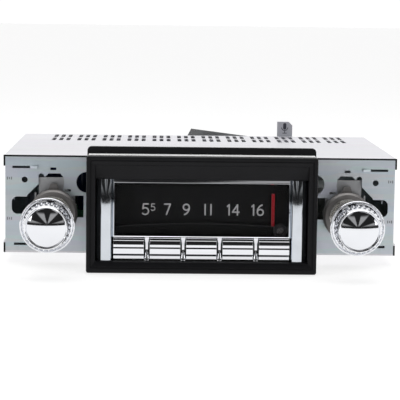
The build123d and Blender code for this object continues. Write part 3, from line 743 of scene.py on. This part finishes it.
def dial_details():
    """The eye's ring and the fine edge line of the dial mask, and the field behind the numbers."""
    low, high = node_box("remote_eye")
    x = (low.x + high.x) / 2
    z = (low.z + high.z) / 2
    y = node_box("dial_mask")[0].y
    profile = ((3.2, y), (3.1, y - 0.18), (2.85, y - 0.25), (2.6, y - 0.12), (2.4, y - 0.02), (1.9, y - 0.1))
    profile += ((1.62, y - 0.3), (1.5, y - 0.2), (1.5, y + 0.3))
    points, faces = loft([circle(x, z, r, ring_y, 64) for r, ring_y in profile])
    piece("eye_ring", points, faces, FINISHES["mask_edge"], "chassis")

    plate = node_box("dial_plate")[0].y
    block("dial_field", FIELD_X, (plate - PRINT_THICK, plate), FIELD_Z, "dial_field")
    low, high = node_box("dial_mask")
    rings = []
    for x in even_steps(low.x, high.x, 40):
        z = MASK_MIDDLE - (MASK_MIDDLE - MASK_SIDE) * (x / high.x) ** 2
        foot = z - MASK_LINE
        rings.append([(x, y, foot), (x, y - 0.08, foot), (x, y - 0.08, z), (x, y, z)])
    points, faces = loft(rings, cap_first=True, cap_last=True)
    piece("mask_edge_line", points, faces, FINISHES["mask_edge"], "chassis")


# Camera, floor and light --------------------------------------------------------------------------

CAMERA_AHEAD = 745.0
CAMERA_ABOVE_COVER = 68.9
CAMERA_SIDE = -19.3
CAMERA_YAW = 1.47
CAMERA_TILT = 6.78
CAMERA_ROLL = 0.75
LENS = 149.0


def camera():
    """A long lens a little above the radio, looking down at its front."""
    data = bpy.data.cameras.new("camera")
    data.lens = LENS
    data.sensor_width = 36.0
    data.clip_end = 50.0
    obj = bpy.data.objects.new("camera", data)
    bpy.context.scene.collection.objects.link(obj)
    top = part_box("top_cover")[1].z / MM
    obj.location = metres(CAMERA_SIDE, -CAMERA_AHEAD, top + CAMERA_ABOVE_COVER)
    yaw = math.radians(CAMERA_YAW)
    tilt = math.radians(CAMERA_TILT)
    forward = Vector((math.sin(yaw) * math.cos(tilt), math.cos(yaw) * math.cos(tilt), -math.sin(tilt)))
    turn = forward.to_track_quat("-Z", "Y") @ Quaternion((0, 0, 1), math.radians(CAMERA_ROLL))
    obj.rotation_mode = "QUATERNION"
    obj.rotation_quaternion = turn
    bpy.context.scene.camera = obj


def floor():
    """Pale paper under the radio, out to the horizon."""
    mesh = bpy.data.meshes.new("floor")
    reach = 8.0
    corners = [(-reach, -reach, 0), (reach, -reach, 0), (reach, reach, 0), (-reach, reach, 0)]
    mesh.from_pydata(corners, [], [(0, 1, 2, 3)])
    obj = bpy.data.objects.new("floor", mesh)
    bpy.context.scene.collection.objects.link(obj)
    obj.location.z = -0.0002
    paper = surface(
        "floor_paper", (0.36, 0.36, 0.36), 0.9, tint=0.01, patches=2, grain=40, bump=0.0,
        specular=0.1, glow=2.0,
    )
    mesh.materials.append(paper)


def softbox(name, place, aim, size, power):
    """A rectangular lamp of a width and height in metres, pointed at aim."""
    data = bpy.data.lights.new(name, "AREA")
    data.shape = "RECTANGLE"
    data.size, data.size_y = size
    data.energy = power
    obj = bpy.data.objects.new(name, data)
    bpy.context.scene.collection.objects.link(obj)
    obj.location = place
    obj.rotation_mode = "QUATERNION"
    obj.rotation_quaternion = (Vector(aim) - Vector(place)).to_track_quat("-Z", "Y")


# The room's brightness on each side, and how the pale screens are fanned out
DARK_ROOM = 0.025
SCREEN_BRIGHTNESS = 0.5
SCREENS_ROUND = 6.0
FAN_CENTRE = 0.04
WHITE_ROOM = 1.5
WORLD_STRENGTH = 0.7


def math_node(tree, operation, first, second):
    """One step of arithmetic on node outputs or plain numbers."""
    made = tree.nodes.new("ShaderNodeMath")
    made.operation = operation
    for socket, value in zip(made.inputs, (first, second)):
        if isinstance(value, float):
            socket.default_value = value
        else:
            tree.links.new(value, socket)
    return made.outputs["Value"]


def soft_step(tree, value, low, high, to_low=0.0, to_high=1.0):
    """Goes smoothly from to_low to to_high while the value goes from low to high."""
    made = tree.nodes.new("ShaderNodeMapRange")
    made.interpolation_type = "SMOOTHSTEP"
    for name, number in (("From Min", low), ("From Max", high), ("To Min", to_low), ("To Max", to_high)):
        made.inputs[name].default_value = number
    tree.links.new(value, made.inputs["Value"])
    return made.outputs["Result"]


def light_in_front(tree, across, up):
    """The dark front of the room, with pale screens fanned out low down and a light ceiling."""
    turn = math_node(tree, "ARCTAN2", math_node(tree, "SUBTRACT", up, FAN_CENTRE), across)
    spokes = math_node(tree, "COSINE", math_node(tree, "MULTIPLY", turn, SCREENS_ROUND), 0.0)
    screens = soft_step(tree, spokes, -0.15, 0.35)
    raised = soft_step(tree, up, 0.06, 0.16)
    low_enough = soft_step(tree, up, 0.46, 0.58, 1.0, 0.0)
    fan = math_node(tree, "MULTIPLY", math_node(tree, "MULTIPLY", screens, raised), low_enough)
    screen_light = math_node(tree, "MULTIPLY", fan, SCREEN_BRIGHTNESS)
    ceiling = soft_step(tree, up, 0.88, 0.98)
    return math_node(tree, "ADD", math_node(tree, "ADD", screen_light, DARK_ROOM), ceiling)


def room():
    """The surroundings that the chrome reflects: white behind the radio and dark in front of it."""
    world = bpy.data.worlds.new("room")
    bpy.context.scene.world = world
    world.use_nodes = True
    tree = world.node_tree
    background = tree.nodes["Background"]
    place = tree.nodes.new("ShaderNodeTexCoord")
    split = tree.nodes.new("ShaderNodeSeparateXYZ")
    tree.links.new(place.outputs["Generated"], split.inputs["Vector"])
    front = light_in_front(tree, split.outputs["X"], split.outputs["Z"])
    behind = soft_step(tree, split.outputs["Y"], -0.10, 0.30)
    blend = tree.nodes.new("ShaderNodeMix")
    blend.clamp_factor = True
    blend.inputs[3].default_value = WHITE_ROOM
    tree.links.new(behind, blend.inputs["Factor"])
    tree.links.new(front, blend.inputs[2])
    tree.links.new(blend.outputs[0], background.inputs["Color"])
    background.inputs["Strength"].default_value = WORLD_STRENGTH
    bpy.context.scene.view_settings.view_transform = "Standard"


def lamps():
    """A large lamp overhead and a softer one at each side, in front."""
    softbox("top_light", (0.0, -0.10, 0.95), (0.0, 0.0, 0.0), (1.3, 0.9), 5.6)
    softbox("left_light", (-0.95, -0.75, 0.55), (0.0, -0.05, 0.03), (0.35, 0.7), 2.2)
    softbox("right_light", (0.95, -0.65, 0.50), (0.0, -0.05, 0.03), (0.35, 0.7), 1.8)


camera()
floor()
room()
lamps()
dress_nodes()
for side in ("left", "right"):
    knob(side)
bezel()
surround()
for number in range(1, 6):
    key(number)
dial_details()
microphone_mark()
panel_marks()
edge_shade_and_highlight()
socket_fittings()
